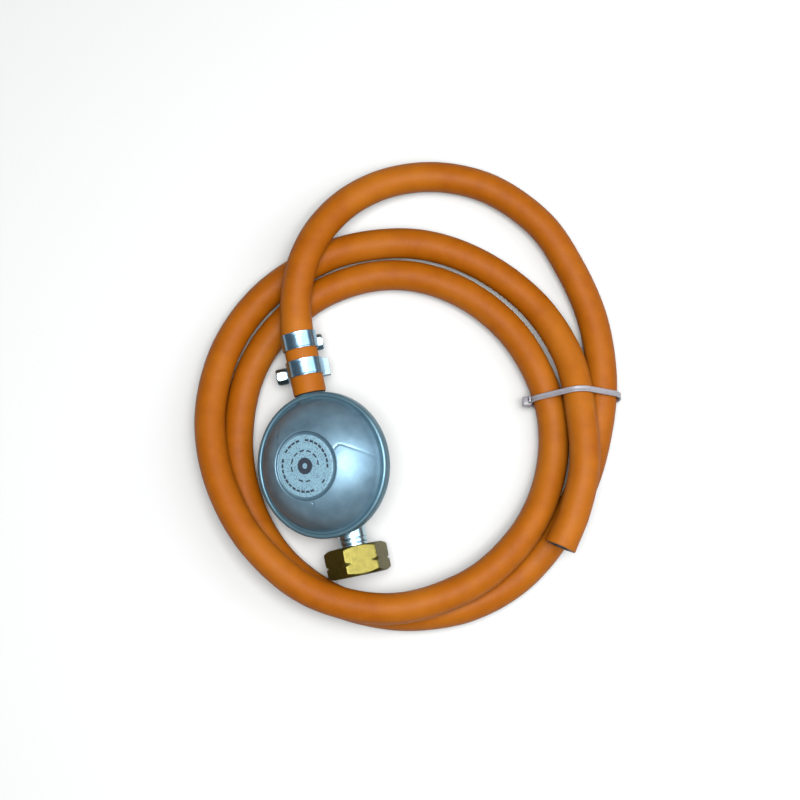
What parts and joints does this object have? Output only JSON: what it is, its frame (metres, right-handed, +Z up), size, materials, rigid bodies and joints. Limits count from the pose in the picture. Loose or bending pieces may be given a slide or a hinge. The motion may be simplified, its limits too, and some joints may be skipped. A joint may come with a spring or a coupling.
{
  "type": "propane regulator hose",
  "caption": "Low-pressure gas regulator with a domed spring housing and a union nut, clamped to an orange rubber hose lying in tied loops.",
  "frame": {"origin": "on the floor, under the middle of the box round the regulator, nut and clamps", "axes": "+Y along the hose nozzle away from the regulator, +Z up from the floor the part lies on, +X to the side the loops spread to; the dome leans 27 degrees towards -X"},
  "size_m": [0.2105, 0.2278, 0.0503],
  "materials": {
    "die_cast_body": "satin die-cast zinc, clear lacquered, fine grain",
    "die_cast_dome": "satin die-cast zinc, blue-grey, slightly reflective",
    "label_plate": "matte speckled light grey-blue print",
    "zinc_plated_steel": "bright zinc plate",
    "spring_steel": "drawn wire",
    "yellow_brass": "turned brass",
    "greenish_brass": "turned and passivated brass, worn corners",
    "black_rubber": "matte",
    "reinforced_rubber_sheet": "matte, cloth grain",
    "orange_rubber_hose": "cloth-wrapped cure, fine cross ribs",
    "filter_mesh": "sintered bronze",
    "natural_nylon": "slightly translucent"
  },
  "bodies": {
    "regulator_and_hose": {"lower_body": "die_cast_body", "bonnet": "die_cast_dome", "cap_disc": "label_plate", "main_spring": "spring_steel", "diaphragm": "reinforced_rubber_sheet", "lever_pin": "spring_steel", "inlet_orifice": "yellow_brass", "inlet_stem": "zinc_plated_steel", "inlet_filter": "filter_mesh", "inlet_seal": "black_rubber", "hose_nozzle": "zinc_plated_steel", "hose": "orange_rubber_hose", "lower_clamp_band": "zinc_plated_steel", "lower_clamp_housing": "zinc_plated_steel", "upper_clamp_band": "zinc_plated_steel", "upper_clamp_housing": "zinc_plated_steel", "cable_tie": "natural_nylon"},
    "adjuster": {"adjusting_ring": "yellow_brass"},
    "diaphragm_carrier": {"diaphragm_plate": "zinc_plated_steel", "retaining_washer": "zinc_plated_steel", "plate_nut": "zinc_plated_steel", "diaphragm_stem": "yellow_brass"},
    "lever_arm": {"lever": "zinc_plated_steel"},
    "valve": {"valve_piston": "yellow_brass", "valve_pad": "black_rubber"},
    "nut": {"union_nut": "greenish_brass"},
    "lower_screw": {"lower_clamp_screw": "zinc_plated_steel"},
    "upper_screw": {"upper_clamp_screw": "zinc_plated_steel"}
  },
  "joints": [
    {"name": "diaphragm_rise", "type": "slide", "parent": "regulator_and_hose", "child": "diaphragm_carrier", "axis": [-0.454, 0, 0.891], "range_m": [0, 0.0015], "stiffness_N_per_m": 1500, "deforming": ["main_spring", "diaphragm"]},
    {"name": "lever_swing", "type": "hinge", "parent": "regulator_and_hose", "child": "lever_arm", "pos_m": [0.00434, 0.0017, 0.01892], "axis": [-0.891, 0, -0.454], "range_deg": [0, 10.8]},
    {"name": "valve_slide", "type": "slide", "parent": "regulator_and_hose", "child": "valve", "axis": [0, -1, 0], "range_m": [0, 0.000925]},
    {"name": "adjuster_turn", "type": "hinge", "parent": "regulator_and_hose", "child": "adjuster", "pos_m": [-0.00601, -0.0063, 0.03923], "axis": [-0.454, 0, 0.891], "range_deg": [-180, 180]},
    {"name": "union_nut_turn", "type": "hinge", "parent": "regulator_and_hose", "child": "nut", "pos_m": [0.00657, -0.053, 0.01455], "axis": [0, 1, 0], "continuous": true},
    {"name": "lower_clamp_screw_turn", "type": "hinge", "parent": "regulator_and_hose", "child": "lower_screw", "pos_m": [0.0023, 0.0418, 0.01083], "axis": [1, 0, 0], "continuous": true},
    {"name": "upper_clamp_screw_turn", "type": "hinge", "parent": "regulator_and_hose", "child": "upper_screw", "pos_m": [0.0023, 0.055, 0.01083], "axis": [1, 0, 0], "continuous": true}
  ],
  "couplings": [
    {"joint": "lever_swing", "follows": "diaphragm_rise", "rad_per_m": 125},
    {"joint": "valve_slide", "follows": "diaphragm_rise", "ratio": 0.6125}
  ]
}
